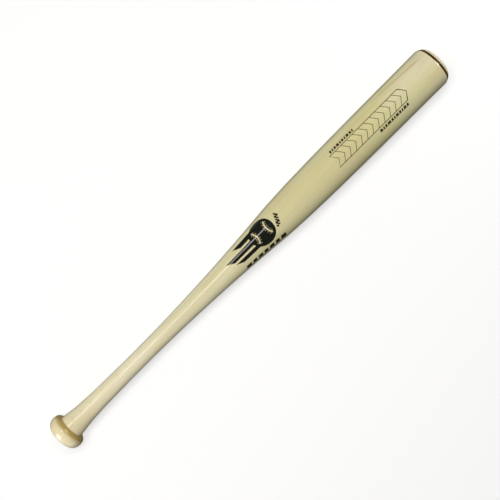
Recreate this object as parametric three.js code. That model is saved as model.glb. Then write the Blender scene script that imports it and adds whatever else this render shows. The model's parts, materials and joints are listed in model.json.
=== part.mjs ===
// A short one-piece wooden baseball bat that lies on a flat surface with its artwork facing up.
// Millimetres, +Z up. The bat's axis runs from the knob (-X) to the barrel (+X). It rests, as a bat
// does, on the widest ring of its knob and on its barrel, so the axis rises slightly towards +X.
import * as THREE from "three";
import { mergeVertices } from "three/addons/utils/BufferGeometryUtils.js";

// ---- Driving dimensions. x is the distance from the knob's end, r the radius. ----
const LENGTH = 685.8; // 27 inches
const SIDES = 32; // flats round the bat; one faces straight down and one straight up
const HALF_SIDE = Math.PI / SIDES;

const KNOB = { endRadius: 15.5, widest: 11.2, radius: 24.5, crease: 19.9, creaseRadius: 17 };
const KNOB_END_ROUNDNESS = 2.1; // superellipse exponents of the knob's two sides
const KNOB_NECK_ROUNDNESS = 2.4;

const BARREL_RADIUS = 28.5;
const SHOULDER = { start: 674.8, endRadius: 20, roundness: 1.56 };
const CUP = { radius: 14, depth: 11 }; // hollowed barrel end

// The flare below the knob, the handle, the taper and the barrel as [x, r].
const SHAFT = [
  [KNOB.crease, KNOB.creaseRadius],
  [28, 16],
  [40, 14.4],
  [58, 13],
  [90, 12.1],
  [140, 11.6],
  [190, 12],
  [245, 13.8],
  [300, 16.6],
  [350, 20.2],
  [395, 23.9],
  [440, 26.1],
  [500, 27.4],
  [570, 28],
  [SHOULDER.start, BARREL_RADIUS],
];

// The dark ring set into the shoulder, between two turns (radians) of the shoulder's curve.
const RING = { from: 0.37, to: 0.78, depth: 1.6, gap: 0.15 };

// The artwork is thin film, wrapped round the bat just clear of the wood. Each piece is drawn flat,
// with x towards the barrel and y down the near side, and placed by the x and the distance round
// the bat of its middle.
const FILM = { gap: 0.1, thickness: 0.3 };
const BALL = {
  place: { x: 370, round: -3.5 },
  radius: 18.5,
  streaks: [
    { top: -14.5, bottom: -6.8, tip: -44 },
    { top: -3.6, bottom: 4.1, tip: -62 },
    { top: 7.3, bottom: 13, tip: -52 },
  ],
  sweep: 11, // how far a streak's lower corner lies behind its tip
  // each seam is a slot between two arcs about a point outside the ball; reach is in radians
  seam: { distance: 24.3, inner: 15.2, outer: 17.1, reach: 0.62 },
};
const CHEVRONS = {
  place: { x: 558.5, round: -1 },
  cells: 12,
  pitch: 10,
  height: 20.5,
  line: 0.9,
};
const EMBLEM_ROW = {
  place: { x: 358, round: 20 },
  widths: [8, 6, 7, 6, 7, 6, 8],
  gap: 3,
  height: 5.4,
  slant: 1.4,
  rule: 0.9,
};
const SIDE_ROW = {
  place: { x: 394, round: -2, rotation: -1.1 },
  widths: [2.5, 3.5, 2, 3, 2.5],
  below: [3, 2, 3.5, 2],
  gap: 1.2,
  height: 2.4,
  slant: 0.5,
  rule: 0.7,
};
const LABEL_ROW = { gap: 1.5, height: 3.2, slant: 0.7, rule: 0.6 };
const UPPER_ROW = {
  ...LABEL_ROW,
  place: { x: 522.5, round: -15.2 },
  widths: [3, 2, 3, 4, 2, 3, 2, 4, 3, 2],
};
const LOWER_ROW = {
  ...LABEL_ROW,
  place: { x: 591.5, round: 12.8 },
  widths: [4, 2, 3, 5, 3, 2, 4, 3, 2, 4, 3],
};

// ---- Profile ----

// A point on a quarter superellipse: at turn 0 it is `side` away from the centre, at a right
// angle it is `rise` away.
function superellipse(centre, side, rise, exponent, turn) {
  return new THREE.Vector2(
    centre.x + side * Math.cos(turn) ** (2 / exponent),
    centre.y + rise * Math.sin(turn) ** (2 / exponent),
  );
}

// `count` equal turns of a quarter circle, both ends included.
function quarterTurns(count) {
  return Array.from({ length: count + 1 }, (_, i) => (i / count) * (Math.PI / 2));
}

// Profile points are (r, x), from the knob's end to the barrel's end.
function knobProfile() {
  const endCentre = new THREE.Vector2(KNOB.endRadius, KNOB.widest);
  const neckCentre = new THREE.Vector2(KNOB.creaseRadius, KNOB.widest);
  const endSide = quarterTurns(7)
    .reverse()
    .map((turn) =>
      superellipse(endCentre, KNOB.radius - KNOB.endRadius, -KNOB.widest, KNOB_END_ROUNDNESS, turn),
    );
  const neckSide = quarterTurns(8)
    .slice(1)
    .map((turn) =>
      superellipse(
        neckCentre,
        KNOB.radius - KNOB.creaseRadius,
        KNOB.crease - KNOB.widest,
        KNOB_NECK_ROUNDNESS,
        turn,
      ),
    );
  return [...endSide, ...neckSide];
}

function shaftProfile() {
  const waypoints = SHAFT.map(([x, r]) => new THREE.Vector3(r, x, 0));
  const curve = new THREE.CatmullRomCurve3(waypoints, false, "centripetal");
  const stationsPerSpan = 3;
  return curve
    .getPoints(stationsPerSpan * (SHAFT.length - 1))
    .slice(1)
    .map((p) => new THREE.Vector2(p.x, p.y));
}

function shoulderPoint(turn) {
  const centre = new THREE.Vector2(SHOULDER.endRadius, SHOULDER.start);
  return superellipse(
    centre,
    BARREL_RADIUS - SHOULDER.endRadius,
    LENGTH - SHOULDER.start,
    SHOULDER.roundness,
    turn,
  );
}

// The ring's seat, straight into the wood from both of its edges.
function ringInward() {
  const along = shoulderPoint(RING.to).sub(shoulderPoint(RING.from)).normalize();
  return new THREE.Vector2(-along.y, along.x);
}

function shoulderProfile() {
  const inward = ringInward().multiplyScalar(RING.depth);
  const before = [0.14, 0.27, RING.from].map(shoulderPoint);
  const groove = [RING.from, RING.to].map((turn) => shoulderPoint(turn).add(inward));
  const after = [RING.to, 0.92, 1.08, 1.25, Math.PI / 2].map(shoulderPoint);
  return [...before, ...groove, ...after];
}

// The cup is a cap of a sphere.
function cupProfile() {
  const sphere = (CUP.radius ** 2 + CUP.depth ** 2) / (2 * CUP.depth);
  const halfOpening = Math.asin(CUP.radius / sphere);
  const steps = 6;
  const points = [];
  for (let i = 0; i < steps; i++) {
    const angle = halfOpening * (1 - i / steps);
    const depth = CUP.depth - sphere * (1 - Math.cos(angle));
    points.push(new THREE.Vector2(sphere * Math.sin(angle), LENGTH - depth));
  }
  return [...points, new THREE.Vector2(0, LENGTH - CUP.depth)];
}

const SHAFT_PROFILE = shaftProfile();

// The shaft's radius at x, along its straight facets.
function radiusAt(x) {
  const after = SHAFT_PROFILE.findIndex((p) => p.y > x);
  const a = SHAFT_PROFILE[after - 1];
  const b = SHAFT_PROFILE[after];
  return THREE.MathUtils.mapLinear(x, a.y, b.y, a.x, b.x);
}

// ---- Turned pieces ----

// A profile turned about the bat's axis, which is +X, with a flat at the top.
function turned(profile) {
  const geometry = new THREE.LatheGeometry(profile, SIDES, HALF_SIDE);
  geometry.rotateZ(-Math.PI / 2);
  return geometry;
}

function bodyGeometry() {
  return turned([
    new THREE.Vector2(0, 0),
    ...knobProfile(),
    ...SHAFT_PROFILE,
    ...shoulderProfile(),
    ...cupProfile(),
  ]);
}

function ringGeometry() {
  const inset = 0.02; // radians of the shoulder's curve left open at each edge of the ring
  const inward = ringInward().multiplyScalar(RING.depth - RING.gap);
  const [first, last] = [RING.from + inset, RING.to - inset];
  const outer = [first, (first + last) / 2, last].map(shoulderPoint);
  const inner = [last, first].map((turn) => shoulderPoint(turn).add(inward));
  return turned([...outer, ...inner, outer[0]]);
}

// ---- Wrapped film ----

// Cuts convex polygons in two along the line where coordinate `key` is `value`.
function cutAlong(polygons, key, value) {
  const onLine = 1e-6;
  const crossing = (a, b) => {
    const [low, high] = a[key] < b[key] ? [a, b] : [b, a];
    return low.clone().lerp(high, (value - low[key]) / (high[key] - low[key]));
  };
  const keep = (polygon, side) => {
    const distance = (p) => side * (p[key] - value);
    if (!polygon.some((p) => distance(p) > onLine)) return [];
    return polygon.flatMap((a, i) => {
      const b = polygon[(i + 1) % polygon.length];
      const [near, far] = [distance(a), distance(b)].sort((p, q) => p - q);
      const kept = distance(a) >= -onLine ? [a] : [];
      return near < -onLine && far > onLine ? [...kept, crossing(a, b)] : kept;
    });
  };
  return polygons
    .flatMap((polygon) => [keep(polygon, 1), keep(polygon, -1)])
    .filter((polygon) => polygon.length > 2);
}

// A flat outline with its holes as convex cells, none of which crosses an edge of the bat's flats.
// Its points are (x, angle), and angle 0 is the top of the bat.
function cellsOnFlats(outline, holes) {
  const faces = THREE.ShapeUtils.triangulateShape(outline, holes);
  const points = [outline, ...holes].flat();
  let cells = faces.map((face) => face.map((i) => points[i]));
  for (let side = -SIDES / 2; side < SIDES / 2; side++) {
    cells = cutAlong(cells, "y", (2 * side + 1) * HALF_SIDE);
  }
  SHAFT_PROFILE.forEach((station) => {
    cells = cutAlong(cells, "x", station.y);
  });
  return cells;
}

// The point of a flat that lies `lift` outside the wood at (x, angle).
function onFlat({ x, y: angle }, lift) {
  const offCentre = angle - 2 * HALF_SIDE * Math.round(angle / (2 * HALF_SIDE));
  const r = ((radiusAt(x) + lift) * Math.cos(HALF_SIDE)) / Math.cos(offCentre);
  return [x, -r * Math.sin(angle), r * Math.cos(angle)];
}

// One closed sheet of film over an artwork shape. The shape is drawn flat in millimetres, x along
// the bat and y round it, and `place` says where on the bat its origin goes.
function filmGeometry(shape, place) {
  const girth = radiusAt(place.x);
  const toBat = (p) => {
    const turnedPoint = p.clone().rotateAround(new THREE.Vector2(), place.rotation ?? 0);
    return new THREE.Vector2(place.x + turnedPoint.x, (place.round + turnedPoint.y) / girth);
  };
  const { shape: outline, holes } = shape.extractPoints(5);
  const contour = outline.map(toBat);
  const openings = holes.map((hole) => hole.map(toBat));
  const flat = [];
  cellsOnFlats(contour, openings).forEach((cell) => {
    for (let i = 2; i < cell.length; i++) {
      [cell[0], cell[i - 1], cell[i]].forEach((p) => flat.push(p.x, p.y, 0));
    }
  });
  const sheet = new THREE.BufferGeometry();
  sheet.setAttribute("position", new THREE.Float32BufferAttribute(flat, 3));
  return thicken(mergeVertices(sheet, 1e-5));
}

// Gives a flat sheet of (x, angle) triangles its two faces and the walls between them.
function thicken(sheet) {
  const position = sheet.getAttribute("position");
  const count = position.count;
  const vertices = [];
  [FILM.gap + FILM.thickness, FILM.gap].forEach((lift) => {
    for (let i = 0; i < count; i++) {
      vertices.push(...onFlat({ x: position.getX(i), y: position.getY(i) }, lift));
    }
  });
  const indices = [];
  const edges = new Map();
  for (let i = 0; i < sheet.index.count; i += 3) {
    const [a, b, c] = [0, 1, 2].map((k) => sheet.index.getX(i + k));
    if (a === b || b === c || c === a) continue;
    indices.push(a, c, b, count + a, count + b, count + c);
    [
      [a, b],
      [b, c],
      [c, a],
    ].forEach(([p, q]) => {
      if (!edges.delete(`${q},${p}`)) edges.set(`${p},${q}`, [p, q]);
    });
  }
  edges.forEach(([p, q]) => indices.push(p, q, count + q, p, count + q, count + p));
  const solid = new THREE.BufferGeometry();
  solid.setAttribute("position", new THREE.Float32BufferAttribute(vertices, 3));
  solid.setIndex(indices);
  return solid;
}

// ---- Artwork shapes ----

// A ball at speed: a disc with two curved seams cut out, and three streaks trailing towards the knob.
function ballEmblem() {
  const { radius, streaks, sweep } = BALL;
  const shape = new THREE.Shape();
  const backAngle = (y) => Math.PI - Math.asin(y / radius);
  const onDisc = (y) => new THREE.Vector2(-Math.sqrt(radius ** 2 - y ** 2), y);
  const first = onDisc(streaks[0].top);
  shape.moveTo(first.x, first.y);
  streaks.forEach(({ top, bottom, tip }, i) => {
    shape.lineTo(tip, top);
    shape.lineTo(tip + sweep, bottom);
    const root = onDisc(bottom);
    shape.lineTo(root.x, root.y);
    const next = streaks[(i + 1) % streaks.length].top;
    const end = i < streaks.length - 1 ? backAngle(next) : backAngle(next) - 2 * Math.PI;
    shape.absarc(0, 0, radius, backAngle(bottom), end, true);
  });
  shape.holes = [-1, 1].map(ballSeam);
  return shape;
}

// A curved slot across the disc. `side` is -1 towards the knob and +1 towards the barrel.
function ballSeam(side) {
  const { distance, inner, outer, reach } = BALL.seam;
  const middle = side > 0 ? Math.PI : 0;
  const slot = new THREE.Path();
  slot.absarc(distance * side, 0, outer, middle - reach, middle + reach, false);
  slot.absarc(distance * side, 0, inner, middle + reach, middle - reach, true);
  slot.closePath();
  return slot;
}

// A row of slanted blocks standing on one thin rule, so that the row is a single piece. `below` are
// the widths of a shorter row that hangs from the rule, from its barrel end back.
function blockRow({ widths, below = [], gap, height, slant, rule }) {
  const length = widths.reduce((sum, width) => sum + width + gap, -gap);
  const top = height / 2; // the rule's two edges
  const bottom = top + rule;
  const shape = new THREE.Shape();
  shape.moveTo(-length / 2, bottom);
  let x = -length / 2;
  widths.forEach((width) => {
    shape.lineTo(x, top);
    shape.lineTo(x + slant, top - height);
    shape.lineTo(x + slant + width, top - height);
    shape.lineTo(x + width, top);
    x += width + gap;
  });
  shape.lineTo(length / 2, bottom);
  x = length / 2 - gap;
  below.forEach((width) => {
    shape.lineTo(x, bottom);
    shape.lineTo(x - slant, bottom + height);
    shape.lineTo(x - slant - width, bottom + height);
    shape.lineTo(x - width, bottom);
    x -= width + gap;
  });
  return shape;
}

// A band of open chevrons between two rails.
function chevronBand({ cells, pitch, height, line }) {
  const nose = height / 3; // how far a chevron's point stands in front of its ends
  const chevron = (path, x, width, half) => {
    path.moveTo(x, -half);
    path.lineTo(x + width, -half);
    path.lineTo(x + width + nose, 0);
    path.lineTo(x + width, half);
    path.lineTo(x, half);
    path.lineTo(x + nose, 0);
    path.closePath();
    return path;
  };
  const start = (-cells * pitch - line) / 2;
  const shape = chevron(new THREE.Shape(), start, cells * pitch + line, height / 2);
  for (let i = 0; i < cells; i++) {
    const x = start + line + i * pitch;
    shape.holes.push(chevron(new THREE.Path(), x, pitch - line, height / 2 - line));
  }
  return shape;
}

// ---- Assembly ----

const surface = (color, roughness) =>
  new THREE.MeshStandardMaterial({ color, roughness, metalness: 0 });
const lacqueredMaple = () => surface(0xd9cda8, 0.3);
const darkTrim = () => surface(0x3a2410, 0.35);
const blackFilm = () => surface(0x14130f, 0.3);
const oliveFilm = () => surface(0x5c5536, 0.45);

function namedMesh(name, geometry, material) {
  const mesh = new THREE.Mesh(geometry, material);
  mesh.name = name;
  return mesh;
}

function artwork() {
  const film = (name, shape, { place }, material) =>
    namedMesh(name, filmGeometry(shape, place), material);
  return [
    film("emblem_ball", ballEmblem(), BALL, blackFilm()),
    film("emblem_block_row", blockRow(EMBLEM_ROW), EMBLEM_ROW, blackFilm()),
    film("emblem_side_row", blockRow(SIDE_ROW), SIDE_ROW, blackFilm()),
    film("label_chevron_band", chevronBand(CHEVRONS), CHEVRONS, oliveFilm()),
    film("label_upper_row", blockRow(UPPER_ROW), UPPER_ROW, oliveFilm()),
    film("label_lower_row", blockRow(LOWER_ROW), LOWER_ROW, oliveFilm()),
  ];
}

// The slope of the line that touches the knob and the barrel from below.
function restSlope() {
  const slopes = SHAFT_PROFILE.map((p) => (p.x - KNOB.radius) / (p.y - KNOB.widest));
  return Math.max(...slopes) * Math.cos(HALF_SIDE);
}

const bat = new THREE.Group();
bat.add(
  namedMesh("bat_body", bodyGeometry(), lacqueredMaple()),
  namedMesh("barrel_end_ring", ringGeometry(), darkTrim()),
  ...artwork(),
);
bat.rotation.y = -Math.atan(restSlope());
bat.updateMatrixWorld(true);

// The origin is under the middle of the bat, on the surface that it lies on.
const extent = new THREE.Box3().setFromObject(bat, true);
const middle = extent.getCenter(new THREE.Vector3());
bat.position.set(-middle.x, -middle.y, -extent.min.z);

const part = new THREE.Group();
part.add(bat);

export default part;
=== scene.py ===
import json
import math

import bmesh
import bpy
import numpy as np
from mathutils import Matrix, Vector
from mathutils.geometry import tessellate_polygon


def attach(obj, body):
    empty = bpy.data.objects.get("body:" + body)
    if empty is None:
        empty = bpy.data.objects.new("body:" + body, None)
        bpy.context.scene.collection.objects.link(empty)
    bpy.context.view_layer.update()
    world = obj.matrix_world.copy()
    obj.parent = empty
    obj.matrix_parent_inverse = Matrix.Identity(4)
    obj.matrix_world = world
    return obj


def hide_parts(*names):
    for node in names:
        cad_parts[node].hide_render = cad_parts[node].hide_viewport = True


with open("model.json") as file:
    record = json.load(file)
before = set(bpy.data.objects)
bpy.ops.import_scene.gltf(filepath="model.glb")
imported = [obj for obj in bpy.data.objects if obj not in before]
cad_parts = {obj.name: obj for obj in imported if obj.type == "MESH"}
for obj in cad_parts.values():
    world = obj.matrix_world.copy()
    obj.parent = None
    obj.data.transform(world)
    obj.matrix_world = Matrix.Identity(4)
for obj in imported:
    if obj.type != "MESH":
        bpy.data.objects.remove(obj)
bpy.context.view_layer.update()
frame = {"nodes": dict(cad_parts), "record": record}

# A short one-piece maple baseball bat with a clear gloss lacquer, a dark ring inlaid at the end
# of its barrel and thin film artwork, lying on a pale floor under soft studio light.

BODY = "root"
MM = 0.001


# ---- The bat's own frame ----
# Its origin is the middle of the knob's end. x runs towards the barrel, y is the row's +Y and z
# points away from the floor. Round the bat, angle 0 is the top and a positive angle lies
# towards -y.

def bat_matrix():
    """From the bat's own frame to the row's, read off the mount on the knob's end."""
    mounts = {mount["name"]: mount for mount in frame["record"]["mounts"]}
    along = -Vector(mounts["knob_end"]["axis"]).normalized()
    across = Vector((0, 1, 0))
    matrix = Matrix((along, across, along.cross(across))).transposed().to_4x4()
    matrix.translation = mounts["knob_end"]["pos_m"]
    return matrix


BAT = bat_matrix()
CAD_SIDES = 32  # flats round a turned CAD node
CAD_HALF_SIDE = math.pi / CAD_SIDES


def cad_points(node):
    """A CAD node's vertices as rows of x, radius and angle."""
    to_bat = BAT.inverted()
    points = [to_bat @ vertex.co for vertex in frame["nodes"][node].data.vertices]
    return np.array([(p.x, math.hypot(p.y, p.z), math.atan2(-p.y, p.z)) for p in points])


# ---- Outlines of the turned pieces ----

ON_AXIS = 0.01 * MM  # a smaller radius than this is a pole
CORNER_TURN = math.radians(45)  # a sharper turn than this is a real corner
STEP_TURN = math.radians(3)  # a curve turns by less than this from point to point
STEP_LENGTH = 3.5 * MM
NEIGHBOUR_REACH = 2  # a curve bends over at most this many times its shorter neighbour's length
EDGE_ROUNDING = 1.1 * MM  # how far from a corner its rounding starts
FINE_EDGE_ROUNDING = 0.12 * MM  # the same beside a stretch shorter than FINE_STRETCH
FINE_STRETCH = 4 * MM
ROUNDING_STEPS = 5


def cad_outline(node):
    """The corner points (x, r) along one line of a turned CAD node, from the knob's end on."""
    points = cad_points(node)
    on_line = (points[:, 1] < ON_AXIS) | (abs(points[:, 2] - CAD_HALF_SIDE) < 0.1 * CAD_HALF_SIDE)
    keys = [tuple(np.round(point[:2], 7)) for point in points]
    linked = {}
    for edge in frame["nodes"][node].data.edges:
        a, b = edge.vertices
        if on_line[a] and on_line[b]:
            linked.setdefault(keys[a], set()).add(keys[b])
            linked.setdefault(keys[b], set()).add(keys[a])
    outline = [min(linked)]
    while True:
        onward = [key for key in linked[outline[-1]] if key not in outline]
        if not onward:
            break
        outline.append(onward[0])
    # the flats' distance from the axis is the radius that stands on the floor
    return np.array(outline) * (1, math.cos(CAD_HALF_SIDE))


def unit(vector):
    return vector / np.linalg.norm(vector)


def turn_between(a, b):
    return math.acos(np.clip(unit(a) @ unit(b), -1, 1))


def tangents(points):
    """Directions of a smooth curve through the points, true for points on a circle. A stretch
    square to the axis is a flat face, and the curve leaves it along the face."""
    chords = np.diff(points, axis=0)
    lengths = np.linalg.norm(chords, axis=1)
    inner = []
    for i in range(1, len(points) - 1):
        before, after = chords[i - 1], chords[i]
        flat = [chord for chord in (before, after) if abs(chord[0]) < ON_AXIS]
        weighted = before / lengths[i - 1] ** 2 + after / lengths[i] ** 2
        inner.append(unit(flat[0] if flat else weighted))
    if not inner:
        return np.array([unit(chords[0])] * 2)
    first, last = (
        2 * (unit(chord) @ near) * unit(chord) - near
        for chord, near in ((chords[0], inner[0]), (chords[-1], inner[-1]))
    )
    return np.array([first, *inner, last])


def smooth_run(points):
    """A run of outline points without corners as a fine smooth curve. A stretch leaves a point
    straight if its neighbour there is much shorter, so that a long stretch doesn't bulge."""
    directions = tangents(points)
    reaches = np.linalg.norm(np.diff(points, axis=0), axis=1)
    fine = [points[0]]
    for i, (a, b) in enumerate(zip(points, points[1:])):
        out, into = (
            directions[end] * min(reaches[i], NEIGHBOUR_REACH * reaches[neighbour])
            for end, neighbour in ((i, max(i - 1, 0)), (i + 1, min(i + 1, len(reaches) - 1)))
        )
        turn = turn_between(directions[i], directions[i + 1])
        steps = math.ceil(max(1, reaches[i] / STEP_LENGTH, turn / STEP_TURN))
        for step in range(1, steps + 1):
            t = step / steps
            ease = t * t * (3 - 2 * t)
            fine.append(a + (b - a) * ease + t * (1 - t) ** 2 * out - t * t * (1 - t) * into)
    return np.array(fine)


def run_length(points):
    return np.linalg.norm(np.diff(points, axis=0), axis=1).sum()


def cut_back(points, distance):
    """The run without its last stretch of that length."""
    walked = np.cumsum(np.linalg.norm(np.diff(points[::-1], axis=0), axis=1))
    count = int(np.searchsorted(walked, distance))
    past, corner = points[::-1][count + 1], points[::-1][count]
    share = (walked[count] - distance) / np.linalg.norm(past - corner)
    return np.vstack([points[: len(points) - count - 1], past + (corner - past) * share])


def fine_outline(node, closed=False):
    """A turned CAD node's outline with its curves smooth and its corners slightly rounded."""
    points = cad_outline(node)
    if closed:
        points = np.vstack([points, points[:1]])
    chords = np.diff(points, axis=0)
    turns = [turn_between(before, after) for before, after in zip(chords, chords[1:])]
    corners = [i + 1 for i, turn in enumerate(turns) if turn > CORNER_TURN]
    ends = [0, *corners, len(points) - 1]
    runs = [smooth_run(points[a : b + 1]) for a, b in zip(ends, ends[1:])]
    fine = runs[0]
    for before, after in zip(runs, runs[1:]):
        short = min(run_length(before), run_length(after)) < FINE_STRETCH
        rounding = FINE_EDGE_ROUNDING if short else EDGE_ROUNDING
        left = cut_back(fine, rounding)
        right = cut_back(after[::-1], rounding)[::-1]
        t = (np.arange(1, ROUNDING_STEPS) / ROUNDING_STEPS)[:, None]
        bend = left[-1] * (1 - t) ** 2 + 2 * after[0] * t * (1 - t) + right[0] * t**2
        fine = np.vstack([left, bend, right])
    return fine[:-1] if closed else fine


# ---- Meshes ----

TURNED_SIDES = 128
SHARP_EDGE = math.radians(50)


def add_object(name, data):
    made = bpy.data.objects.new(name, data)
    bpy.context.scene.collection.objects.link(made)
    return made


def add_piece(name, mesh, material, node):
    """Puts a mesh in the bat's frame on the bat, in place of a CAD node."""
    mesh.materials.append(material)
    mesh.set_sharp_from_angle(angle=SHARP_EDGE)
    piece = add_object(name, mesh)
    piece.matrix_world = BAT
    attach(piece, BODY)
    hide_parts(node)
    return piece


def to_mesh(name, shape):
    mesh = bpy.data.meshes.new(name)
    shape.to_mesh(mesh)
    shape.free()
    return mesh


def finished_mesh(name, shape):
    """The bmesh as a smooth-shaded mesh whose faces all point out."""
    bmesh.ops.recalc_face_normals(shape, faces=shape.faces)
    for face in shape.faces:
        face.smooth = True
    return to_mesh(name, shape)


def turned_mesh(name, outline, closed=False):
    """An outline turned about the bat's axis."""
    shape = bmesh.new()
    rings = []
    for x, r in outline:
        if r < ON_AXIS:
            rings.append([shape.verts.new((x, 0, 0))])
            continue
        angles = (2 * math.pi * side / TURNED_SIDES for side in range(TURNED_SIDES))
        rings.append([shape.verts.new((x, -r * math.sin(a), r * math.cos(a))) for a in angles])
    pairs = list(zip(rings, rings[1:])) + ([(rings[-1], rings[0])] if closed else [])
    for near, far in pairs:
        for side in range(TURNED_SIDES):
            onward = (side + 1) % TURNED_SIDES
            corners = [near[side % len(near)], near[onward % len(near)]]
            corners += [far[onward % len(far)], far[side % len(far)]]
            shape.faces.new(dict.fromkeys(corners))
    return finished_mesh(name, shape)


# ---- Film: thin printed sheets wrapped round the bat ----
# Each artwork is drawn flat in millimetres, x towards the barrel and y down the near side. It is
# one or more areas, each an outline followed by its holes.

FILM_LIFT = 0.04 * MM
FILM_THICKNESS = 0.06 * MM
FILM_CELL = (2.0, 1.0)  # mm along the bat and round it, fine enough to follow its curve
FILM_CUT = 1e-4  # mm, how close to a cell's edge a point counts as lying on it
ARC_STEP = 0.5  # mm
SHAFT_START, SHAFT_END = 30 * MM, 670 * MM  # the artwork lies between these


def arc(centre, radius, start, end):
    """Points along an arc, its start and end included."""
    steps = max(2, math.ceil(abs(end - start) * radius / ARC_STEP))
    angles = np.linspace(start, end, steps + 1)
    return [(centre[0] + radius * math.cos(a), centre[1] + radius * math.sin(a)) for a in angles]


def flat_cells(area):
    """An area cut along a grid into small flat faces, as a bmesh."""
    shape = bmesh.new()
    loops = [[Vector((x, y, 0)) for x, y in loop] for loop in area]
    vertices = [shape.verts.new(point) for loop in loops for point in loop]
    for triangle in tessellate_polygon(loops):
        shape.faces.new([vertices[i] for i in triangle])
    for axis, cell in enumerate(FILM_CELL):
        values = [point[axis] for point in loops[0]]
        normal = Vector((axis == 0, axis == 1, 0))
        for line in range(math.ceil(min(values) / cell), math.floor(max(values) / cell) + 1):
            everything = [*shape.verts, *shape.edges, *shape.faces]
            bmesh.ops.bisect_plane(
                shape, geom=everything, dist=FILM_CUT,
                plane_co=normal * line * cell, plane_no=normal,
            )
    bmesh.ops.triangulate(shape, faces=shape.faces)
    return shape


def film_mesh(name, areas, node, outline):
    """The artwork wrapped round the bat, over the stretch and the angle that its CAD node fills."""
    cad = cad_points(node)[:, [0, 2]]
    drawn = np.array([point for area in areas for point in area[0]])
    scale = np.ptp(cad, axis=0) / np.ptp(drawn, axis=0)
    shaft = outline[(outline[:, 0] > SHAFT_START) & (outline[:, 0] < SHAFT_END)]

    def on_bat(point, lift):
        x, angle = cad.min(axis=0) + (np.array(point[:2]) - drawn.min(axis=0)) * scale
        r = np.interp(x, shaft[:, 0], shaft[:, 1]) + lift
        return (x, -r * math.sin(angle), r * math.cos(angle))

    shape = bmesh.new()
    for area in areas:
        flat = flat_cells(area)
        flat.verts.index_update()
        lower, upper = (
            [shape.verts.new(on_bat(vertex.co, lift)) for vertex in flat.verts]
            for lift in (FILM_LIFT, FILM_LIFT + FILM_THICKNESS)
        )
        for face in flat.faces:
            corners = [vertex.index for vertex in face.verts]
            shape.faces.new([upper[i] for i in corners])
            shape.faces.new([lower[i] for i in reversed(corners)])
        for edge in flat.edges:
            if edge.is_boundary:
                a, b = (vertex.index for vertex in edge.verts)
                shape.faces.new([upper[a], upper[b], lower[b], lower[a]])
        flat.free()
    return finished_mesh(name, shape)


# ---- Artwork ----

BALL_RADIUS = 18.5
STREAKS = [(-14.5, -6.8, -44), (-3.6, 4.1, -62), (7.3, 13, -52)]  # top, bottom, tip
STREAK_SWEEP = 11  # how far a streak's lower corner lies behind its tip
SEAM = {"distance": 24.3, "inner": 15.2, "outer": 17.1, "reach": 0.62}
STITCHES = {"count": 6, "length": 1.9, "width": 0.62, "clear": 0.5, "lean": 0.5}


def ball_at_speed():
    """A disc with two stitched seams cut out and three streaks trailing towards the knob."""
    back = lambda y: math.pi - math.asin(y / BALL_RADIUS)
    outline = []
    for i, (top, bottom, tip) in enumerate(STREAKS):
        onward = STREAKS[(i + 1) % len(STREAKS)][0]
        end = back(onward) - (2 * math.pi if i == len(STREAKS) - 1 else 0)
        outline += [(tip, top), (tip + STREAK_SWEEP, bottom)]
        outline += arc((0, 0), BALL_RADIUS, back(bottom), end)
    return [[outline, *ball_cuts(-1), *ball_cuts(1)]]


def ball_cuts(side):
    """One curved seam and the stitches on both sides of it. `side` is -1 towards the knob."""
    centre = (SEAM["distance"] * side, 0)
    middle = math.pi if side > 0 else 0
    low, high = middle - SEAM["reach"], middle + SEAM["reach"]
    cuts = [arc(centre, SEAM["outer"], low, high) + arc(centre, SEAM["inner"], high, low)]
    for i in range(STITCHES["count"]):
        angle = low + (high - low) * (i + 0.5) / STITCHES["count"]
        for outward in (-1, 1):
            edge = SEAM["outer" if outward > 0 else "inner"] + outward * STITCHES["clear"]
            cuts.append(stitch(centre, angle, edge, outward))
    return cuts


def stitch(centre, angle, edge, outward):
    """A short slanted cut that starts beside the seam."""
    along = np.array([-math.sin(angle), math.cos(angle)])
    away = np.array([math.cos(angle), math.sin(angle)])
    start = np.array(centre) + away * edge
    end = start + (away * outward + along * STITCHES["lean"]) * STITCHES["length"]
    half = along * STITCHES["width"] / 2
    return [tuple(p) for p in (start - half, end - half, end + half, start + half)]


def block_row(widths, gap, height, slant, rule, below=()):
    """Slanted blocks standing on one thin rule, and a shorter row that hangs from it."""
    length = sum(widths) + gap * (len(widths) - 1)
    top, bottom = height / 2, height / 2 + rule  # the rule's two edges
    x = -length / 2
    outline = [(x, bottom)]
    for width in widths:
        outline += [(x, top), (x + slant, top - height)]
        outline += [(x + slant + width, top - height), (x + width, top)]
        x += width + gap
    outline.append((length / 2, bottom))
    x = length / 2 - gap
    for width in below:
        outline += [(x, bottom), (x - slant, bottom + height)]
        outline += [(x - slant - width, bottom + height), (x - width, bottom)]
        x -= width + gap
    return [[outline]]


def turned_flat(areas, angle):
    """The drawing turned about its origin."""
    c, s = math.cos(angle), math.sin(angle)
    return [[[(x * c - y * s, x * s + y * c) for x, y in loop] for loop in area] for area in areas]


CHEVRONS = {"cells": 12, "pitch": 10, "height": 20.5, "line": 0.9}


def chevron_band(cells, pitch, height, line):
    """A band of open chevrons between two rails."""
    nose = height / 3  # how far a chevron's point stands in front of its ends

    def chevron(x, width, half):
        tail = [(x, half), (x + nose, 0), (x, -half)]
        return [*tail, (x + width, -half), (x + width + nose, 0), (x + width, half)]

    start = (-cells * pitch - line) / 2
    outline = chevron(start, cells * pitch + line, height / 2)
    starts = (start + line + i * pitch for i in range(cells))
    return [[outline, *(chevron(x, pitch - line, height / 2 - line) for x in starts)]]


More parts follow.
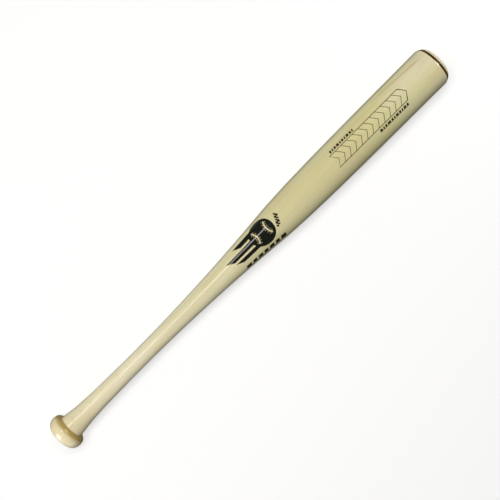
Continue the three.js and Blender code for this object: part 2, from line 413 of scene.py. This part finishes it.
EMBLEM_ROW = {
    "widths": [8, 6, 7, 6, 7, 6, 8], "gap": 3, "height": 5.4, "slant": 1.4, "rule": 0.9,
}
SIDE_ROW = {
    "widths": [2.5, 3.5, 2, 3, 2.5], "below": [3, 2, 3.5, 2], "gap": 1.2, "height": 2.4,
    "slant": 0.5, "rule": 0.7,
}
SIDE_ROW_TURN = -1.1
LABEL_STYLE = {"gap": 1.5, "height": 3.2, "slant": 0.7, "rule": 0.6}
UPPER_WIDTHS = [3, 2, 3, 4, 2, 3, 2, 4, 3, 2]
LOWER_WIDTHS = [4, 2, 3, 5, 3, 2, 4, 3, 2, 4, 3]


# ---- Materials ----

class Recipe:
    """Short calls that build one material's nodes."""

    def __init__(self, name):
        self.material = bpy.data.materials.new(name)
        self.material.use_nodes = True
        self.tree = self.material.node_tree
        self.shader = self.tree.nodes["Principled BSDF"]
        self.place = self.node("ShaderNodeTexCoord").outputs["Object"]

    def node(self, kind, inputs=None, **settings):
        made = self.tree.nodes.new(kind)
        for key, value in settings.items():
            setattr(made, key, value)
        for key, value in (inputs or {}).items():
            self.put(made.inputs[key], value)
        return made

    def put(self, socket, value):
        if isinstance(value, bpy.types.NodeSocket):
            self.tree.links.new(value, socket)
        else:
            socket.default_value = value

    def set(self, **values):
        """Sets the shader's sockets, named with _ for a space."""
        for key, value in values.items():
            self.put(self.shader.inputs[key.replace("_", " ")], value)

    def math(self, operation, a, b=0.0):
        return self.node("ShaderNodeMath", {0: a, 1: b}, operation=operation).outputs[0]

    def vector(self, operation, a, b=(0, 0, 0)):
        made = self.node("ShaderNodeVectorMath", {0: a, 1: b}, operation=operation)
        return made.outputs["Value" if operation in ("LENGTH", "DOT_PRODUCT") else "Vector"]

    def axis(self, name):
        """The place's "X", "Y" or "Z"."""
        return self.node("ShaderNodeSeparateXYZ", {0: self.place}).outputs[name]

    def noise(self, pattern, detail=2.0, roughness=0.5, output="Fac"):
        """Noise from 0 to 1 in cells of that pattern's size."""
        stretched = self.vector("MULTIPLY", self.place, CELLS[pattern])
        inputs = {"Vector": stretched, "Scale": 1.0, "Detail": detail, "Roughness": roughness}
        return self.node("ShaderNodeTexNoise", inputs).outputs[output]

    def fibres(self):
        return self.noise("fibres", 3.0, 0.6)

    def wander(self, pattern, reach):
        """Noise from minus half of `reach` to plus half of it."""
        return self.math("MULTIPLY", self.math("SUBTRACT", self.noise(pattern), 0.5), reach)

    def blend(self, a, b, share):
        """A `share` of a, and b for the rest."""
        return self.math(
            "ADD", self.math("MULTIPLY", a, share), self.math("MULTIPLY", b, 1 - share)
        )

    def between(self, value, low, high, to_low=0.0, to_high=1.0, smooth=True):
        """Maps low..high to to_low..to_high and stays level outside it."""
        inputs = {
            "Value": value, "From Min": low, "From Max": high, "To Min": to_low, "To Max": to_high,
        }
        kind = "SMOOTHSTEP" if smooth else "LINEAR"
        return self.node("ShaderNodeMapRange", inputs, interpolation_type=kind).outputs["Result"]

    def mix(self, factor, a, b, blend="MIX"):
        inputs = {0: factor, 6: a, 7: b}
        return self.node("ShaderNodeMix", inputs, data_type="RGBA", blend_type=blend).outputs[2]

    def bump(self, height, depth):
        """Relief of that depth in metres."""
        inputs = {"Height": height, "Distance": depth, "Strength": 1.0}
        return self.node("ShaderNodeBump", inputs).outputs["Normal"]


# noise cells per metre along x, y and z
CELLS = {
    "ring wander": (5, 22, 22),
    "tone wander": (8, 45, 45),
    "streak wander": (40, 150, 150),
    "mottle": (9, 34, 34),
    "bands": (5, 260, 260),
    "fibres": (26, 1500, 1500),
    "flecks": (190, 1700, 1700),
    "stain": (60, 60, 60),
    "speckle": (2600, 2600, 2600),
    "peel": (150, 150, 150),
}
PATCHY = (0.35, 0.68)  # soft patches lie between these values of a noise
FULL_NOISE = (0.3, 0.7)  # most of a noise lies between these values
DARK_FIBRES = (0.45, 0.8)
FLECK_EDGE = (0.66, 0.76)

# the wood's tone along the bat, as (x, colour)
MAPLE_TONES = [
    (0, (0.83, 0.745, 0.49, 1)),
    (150 * MM, (0.83, 0.79, 0.60, 1)),
    (270 * MM, (0.755, 0.72, 0.49, 1)),
    (400 * MM, (0.675, 0.63, 0.37, 1)),
    (500 * MM, (0.66, 0.615, 0.35, 1)),
    (580 * MM, (0.665, 0.625, 0.335, 1)),
    (680 * MM, (0.72, 0.67, 0.465, 1)),
]
TONE_WANDER = 180 * MM  # noise moves the tones by up to half of this either way
WARM_SHADE = (0.94, 0.90, 0.82, 1)  # what the warmer patches multiply the tone by
LATEWOOD = (0.56, 0.44, 0.23, 1)
FLECK = (0.50, 0.36, 0.17, 1)
MINERAL = (0.40, 0.24, 0.10, 1)
END_GRAIN = (0.55, 0.39, 0.165, 1)
END_FACING = (0.8, 1.0)  # end grain shows as the surface turns this far along the bat
# painted shade: the knob's neck side, which turns away from the light towards the barrel and into
# the crease, is darkened here; part of its gold is the end grain's own tint
NECK_GOLD_AND_SHADE = (0.60, 0.47, 0.20, 1)  # what the knob's neck side multiplies the tone by
NECK_FACING = (0.06, 0.55)
NECK_FADE = (17.9 * MM, 22.9 * MM)  # round the crease between the knob and the handle

PITH = (0, -70 * MM, -121 * MM)  # the tree's centre beside the bat, at the knob's end
PITH_SLOPE = (0.035, 0.045)  # how the pith drifts in y and z along the bat
RING_SPACING = 2.3 * MM
RING_WANDER = 7 * MM  # slow noise moves the rings by up to half of this either way
LATE_SEASON = (0.35, 0.93)  # the share of a year's ring in which it darkens
LINE_SHARPNESS = 3.0

# a brown mineral streak on the far side of the barrel, running slightly inwards to the end
STREAK_START = 588 * MM
STREAK_Y = 22.6 * MM  # its distance from the axis at STREAK_START, towards +y
STREAK_DRIFT = -0.058
STREAK_WIDTH = 1.5 * MM
STREAK_WANDER = 2.2 * MM
STREAK_RISE = (576 * MM, 608 * MM)
STREAK_FALL = (658 * MM, 672 * MM)
STREAK_HEIGHT = (0, 8 * MM)  # it shows only above the axis


def growth_rings(wood):
    """0 in the pale wood of a year's ring, 1 on its thin dark line."""
    slow = wood.vector("SUBTRACT", wood.noise("ring wander", output="Color"), (0.5, 0.5, 0.5))
    wander = wood.vector("MULTIPLY", slow, (0, RING_WANDER, RING_WANDER))
    drift = wood.vector("MULTIPLY", wood.axis("X"), (1, *PITH_SLOPE))
    from_pith = wood.vector("SUBTRACT", wood.vector("SUBTRACT", wood.place, PITH), drift)
    distance = wood.vector("LENGTH", wood.vector("ADD", from_pith, wander))
    phase = wood.math("FRACT", wood.math("DIVIDE", distance, RING_SPACING))
    rise = wood.math("POWER", wood.between(phase, *LATE_SEASON), LINE_SHARPNESS)
    fall = wood.between(phase, LATE_SEASON[1], 1.0, 1.0, 0.0)
    return wood.math("MULTIPLY", rise, fall)


def mineral_streak(wood):
    """1 in the middle of the streak, 0 away from it."""
    x, y, z = (wood.axis(name) for name in "XYZ")
    drift = wood.math("MULTIPLY", wood.math("SUBTRACT", x, STREAK_START), STREAK_DRIFT)
    middle = wood.math("ADD", drift, STREAK_Y)
    off = wood.math(
        "ADD", wood.math("SUBTRACT", y, middle), wood.wander("streak wander", STREAK_WANDER)
    )
    streak = wood.between(wood.math("ABSOLUTE", off), 0.0, STREAK_WIDTH, 1.0, 0.0)
    for fade in (
        wood.between(x, *STREAK_RISE),
        wood.between(x, *STREAK_FALL, 1.0, 0.0),
        wood.between(z, *STREAK_HEIGHT),
    ):
        streak = wood.math("MULTIPLY", streak, fade)
    return streak


def facing_barrel(wood):
    """How far the surface faces along the bat: 0 on the shaft, 1 or -1 on the end faces."""
    normal = wood.node("ShaderNodeNewGeometry").outputs["Normal"]
    return wood.vector("DOT_PRODUCT", normal, tuple(BAT.col[0][:3]))


def knob_neck(wood):
    """0 on the bat, rising to 1 where the knob's neck side turns towards the barrel. This mask
    carries painted shade in the crease and on the neck's shaded side, together with some golden
    end-grain tint.
    """
    on_knob = wood.between(wood.axis("X"), *NECK_FADE, 1.0, 0.0)
    turned = wood.between(facing_barrel(wood), *NECK_FACING, smooth=False)
    return wood.math("MULTIPLY", on_knob, turned)


def maple_tone(wood):
    """The wood's plain colour, which drifts along the bat."""
    place = wood.math("ADD", wood.axis("X"), wood.wander("tone wander", TONE_WANDER))
    first, last = MAPLE_TONES[0][0], MAPLE_TONES[-1][0]
    ramp = wood.node("ShaderNodeValToRGB", {0: wood.between(place, first, last, smooth=False)})
    stops = ramp.color_ramp.elements
    for x, colour in MAPLE_TONES[1:-1]:
        stops.new((x - first) / (last - first)).color = colour
    stops[0].color, stops[-1].color = MAPLE_TONES[0][1], MAPLE_TONES[-1][1]
    return ramp.outputs["Color"]


BARE_GLOSS = 0.05  # the surface under the lacquer hardly shines
COAT_ROUGHNESS = 0.07
COAT_IOR = 1.5
PEEL_DEPTH = 0.012 * MM
WOOD_RELIEF = 0.03 * MM
FILM_RELIEF = 0.02 * MM


def lacquered(recipe, colour, roughness, fibres, relief):
    """The finished material, under a clear gloss lacquer with a very slight orange peel."""
    recipe.set(
        Base_Color=colour, Roughness=roughness, Specular_IOR_Level=BARE_GLOSS,
        Normal=recipe.bump(fibres, relief),
        Coat_Weight=1.0, Coat_Roughness=COAT_ROUGHNESS, Coat_IOR=COAT_IOR,
        Coat_Normal=recipe.bump(recipe.noise("peel", 1.0), PEEL_DEPTH),
    )
    return recipe.material


def maple():
    wood = Recipe("lacquered_maple")
    fibres = wood.fibres()
    patches = wood.blend(wood.noise("mottle", 3.0), wood.noise("bands"), 0.6)
    colour = wood.mix(wood.between(patches, *PATCHY), maple_tone(wood), WARM_SHADE, "MULTIPLY")
    flecks = wood.between(wood.noise("flecks", 1.0), *FLECK_EDGE)
    end = wood.between(wood.math("ABSOLUTE", facing_barrel(wood)), *END_FACING)
    for where, strength, stain in (
        (growth_rings(wood), 0.12, LATEWOOD),
        (wood.between(fibres, *DARK_FIBRES), 0.12, LATEWOOD),
        (flecks, 0.16, FLECK),
        (mineral_streak(wood), 0.4, MINERAL),
        (end, 0.4, END_GRAIN),
    ):
        colour = wood.mix(wood.math("MULTIPLY", where, strength), colour, stain)
    # painted shade with golden end grain on the knob's neck side
    colour = wood.mix(knob_neck(wood), colour, NECK_GOLD_AND_SHADE, "MULTIPLY")
    roughness = wood.between(fibres, *FULL_NOISE, 0.46, 0.6)
    return lacquered(wood, colour, roughness, fibres, WOOD_RELIEF)


RING_DARK = (0.012, 0.005, 0.002, 1)
RING_BROWN = (0.11, 0.045, 0.009, 1)


def dark_wood():
    wood = Recipe("dark_inlay")
    fibres = wood.fibres()
    tone = wood.blend(fibres, wood.noise("stain"), 0.5)
    colour = wood.mix(wood.between(tone, *PATCHY), RING_BROWN, RING_DARK)
    roughness = wood.between(fibres, *FULL_NOISE, 0.4, 0.55)
    return lacquered(wood, colour, roughness, fibres, WOOD_RELIEF)


# a film's colour where the wood's pores show through it, and where it covers fully
BLACK_FILM = ((0.014, 0.015, 0.011, 1), (0.006, 0.007, 0.004, 1))
OLIVE_FILM = ((0.10, 0.085, 0.04, 1), (0.035, 0.03, 0.014, 1))
FILM_COVER = (0.32, 0.56)  # the film covers fully above these values of its noise


def film(name, thin, thick):
    """Printed film that lets the wood's fibres show through slightly."""
    recipe = Recipe(name)
    fibres, speckle = recipe.fibres(), recipe.noise("speckle", 1.0)
    cover = recipe.between(recipe.blend(fibres, speckle, 0.6), *FILM_COVER)
    roughness = recipe.between(speckle, *FULL_NOISE, 0.35, 0.5)
    return lacquered(recipe, recipe.mix(cover, thin, thick), roughness, fibres, FILM_RELIEF)


# ---- The bat ----

def build_bat():
    outline = fine_outline("bat_body")
    body = turned_mesh("turned_body", outline)
    add_piece("turned_body", body, maple(), "bat_body")
    ring = turned_mesh("inlaid_ring", fine_outline("barrel_end_ring", closed=True), closed=True)
    add_piece("inlaid_ring", ring, dark_wood(), "barrel_end_ring")
    side_row = turned_flat(block_row(**SIDE_ROW), SIDE_ROW_TURN)
    upper_row = block_row(UPPER_WIDTHS, **LABEL_STYLE)
    lower_row = block_row(LOWER_WIDTHS, **LABEL_STYLE)
    black, olive = film("black_film", *BLACK_FILM), film("olive_film", *OLIVE_FILM)
    for name, areas, node, material, slot in (
        ("ball_at_speed", ball_at_speed(), "emblem_ball", black, "black_film"),
        ("emblem_blocks", block_row(**EMBLEM_ROW), "emblem_block_row", black, "black_film"),
        ("emblem_side_blocks", side_row, "emblem_side_row", black, "black_film"),
        ("chevron_band", chevron_band(**CHEVRONS), "label_chevron_band", olive, "olive_film"),
        ("label_upper_blocks", upper_row, "label_upper_row", olive, "olive_film"),
        ("label_lower_blocks", lower_row, "label_lower_row", olive, "olive_film"),
    ):
        add_piece(name, film_mesh(name, areas, node, outline), material, node)


# ---- Camera, floor and light ----

CAMERA_DISTANCE = 1.163  # from the bat's axis
CAMERA_ALONG = 344 * MM  # the point of the bat under the camera
CAMERA_ASIDE = -1.8 * MM
CAMERA_LENS = 64.8
CAMERA_SENSOR = 36
BAT_SLANT = math.radians(45.02)  # how the bat rises to the right in the picture


def add_camera():
    """Straight above the bat, square to its axis, with the bat on the picture's diagonal."""
    data = bpy.data.cameras.new("camera")
    data.lens, data.sensor_width = CAMERA_LENS, CAMERA_SENSOR
    data.clip_start, data.clip_end = 0.05, 100
    camera = add_object("camera", data)
    place = Matrix.Translation((CAMERA_ALONG, CAMERA_ASIDE, CAMERA_DISTANCE))
    camera.matrix_world = BAT @ place @ Matrix.Rotation(-BAT_SLANT, 4, "Z")
    bpy.context.scene.camera = camera


MID_BAT = (0.34, 0, 0)
NARROW = math.radians(50)  # keeps a highlight light's reflection out of the other views
WORLD_COLOUR = (1, 1, 0.96, 1)
WORLD_STRENGTH = 0.08


def add_light(
    name, place, size, power, colour=(1, 1, 1), target=MID_BAT, only=None, spread=math.pi
):
    """An area light at a place in the bat's frame, its first side along the bat, facing a target.
    `only` is "fill" for a light without a highlight or "shine" for one that is only a highlight."""
    data = bpy.data.lights.new(name, "AREA")
    data.shape, data.size, data.size_y = "RECTANGLE", *size
    data.energy, data.color, data.spread = power, colour, spread
    light = add_object(name, data)
    back = (Vector(place) - Vector(target)).normalized()
    side = Vector((1, 0, 0)) if abs(back.x) < 0.9 else Vector((0, 1, 0))
    up = back.cross(side).normalized()
    turn = Matrix((up.cross(back), up, back)).transposed().to_4x4()
    light.matrix_world = BAT @ Matrix.Translation(place) @ turn
    light.visible_camera = False
    light.visible_glossy = only != "fill"
    light.visible_diffuse = only != "shine"


def add_lights():
    add_light("key", (0.34, 0.35, 1.66), (1.6, 0.6), 28.5, (1, 0.985, 0.95), only="fill")
    add_light("far_low", (0.34, 0.94, -0.34), (2.2, 0.6), 2.75, (0.95, 1, 0.95))
    add_light("near_low", (-0.7, -1.0, 0.1), (1.0, 0.5), 2.3)
    add_light("floor_bounce", (0.34, 0, -1.0), (1.6, 0.9), 2.8, only="fill")
    add_light("knob_end_fill", (-1.0, 0, 0.25), (0.5, 0.5), 6.3, target=(0, 0, 0), only="fill")
    add_light(
        "barrel_end_fill", (1.05, 0, 0.05), (0.3, 0.3), 1.2, target=(0.68, 0, 0), only="fill"
    )
    add_light(
        "handle_strip", (-0.02, 0.495, 1.15), (0.46, 0.17), 1.9,
        target=(0.15, 0, 0), only="shine",
    )
    # these stand close to the wood, so that their reflections stay small in the other views
    add_light(
        "knob_end_shine", (-0.015, 0.003, 0.026), (0.03, 0.018), 0.0105, (0.42, 0.72, 1),
        target=(0.004, 0, 0.017), only="shine",
    )
    add_light(
        "knob_neck_shine", (0.1015, 0.003, 0.0725), (0.04, 0.06), 0.006, (1, 0.9, 0.65),
        target=(0.0175, 0, 0.0185), only="shine", spread=NARROW,
    )
    add_light(
        "barrel_end_shine", (0.697, -0.0085, 0.039), (0.005, 0.026), 0.0006,
        target=(0.6762, -0.006, 0.0252), only="shine", spread=NARROW,
    )
    world = bpy.data.worlds.new("studio")
    world.use_nodes = True
    background = world.node_tree.nodes["Background"].inputs
    background["Color"].default_value = WORLD_COLOUR
    background["Strength"].default_value = WORLD_STRENGTH
    bpy.context.scene.world = world


STAGE_RADIUS = 8.0
STAGE_SIDES = 96
STAGE_WHITE = 0.96
FLOOR_DIFFUSE, FLOOR_GLOW = 0.4, 0.6  # under the bat, where the floor takes its shadow
FLOOR_FADE = (0.42, 0.95)  # between these distances from the origin it turns into plain white


def stage_material(name, diffuse, glow):
    """Plain white that glows and takes no light, except near the origin if it is the floor."""
    stage = Recipe(name)
    grey = lambda level: (level, level, level, 1)
    far = stage.between(stage.vector("LENGTH", stage.place), *FLOOR_FADE)
    stage.set(
        Base_Color=stage.mix(far, grey(diffuse), grey(0)), Roughness=1.0,
        Specular_IOR_Level=0.0, Emission_Color=grey(1),
        Emission_Strength=stage.mix(far, grey(glow), grey(STAGE_WHITE)),
    )
    return stage.material


def add_stage():
    """A pale floor and a pale dome round it. Only the camera sees them, so they light nothing."""
    floor, dome = bmesh.new(), bmesh.new()
    bmesh.ops.create_circle(floor, cap_ends=True, radius=STAGE_RADIUS, segments=STAGE_SIDES)
    bmesh.ops.create_uvsphere(
        dome, u_segments=STAGE_SIDES, v_segments=STAGE_SIDES // 2, radius=STAGE_RADIUS
    )
    for name, shape, diffuse, glow in (
        ("floor", floor, FLOOR_DIFFUSE, FLOOR_GLOW), ("backdrop", dome, 0, STAGE_WHITE),
    ):
        mesh = to_mesh(name, shape)
        mesh.materials.append(stage_material(name, diffuse, glow))
        piece = add_object(name, mesh)
        piece.visible_diffuse = piece.visible_glossy = piece.visible_shadow = False


build_bat()
add_camera()
add_lights()
add_stage()
bpy.context.scene.view_settings.view_transform = "Standard"
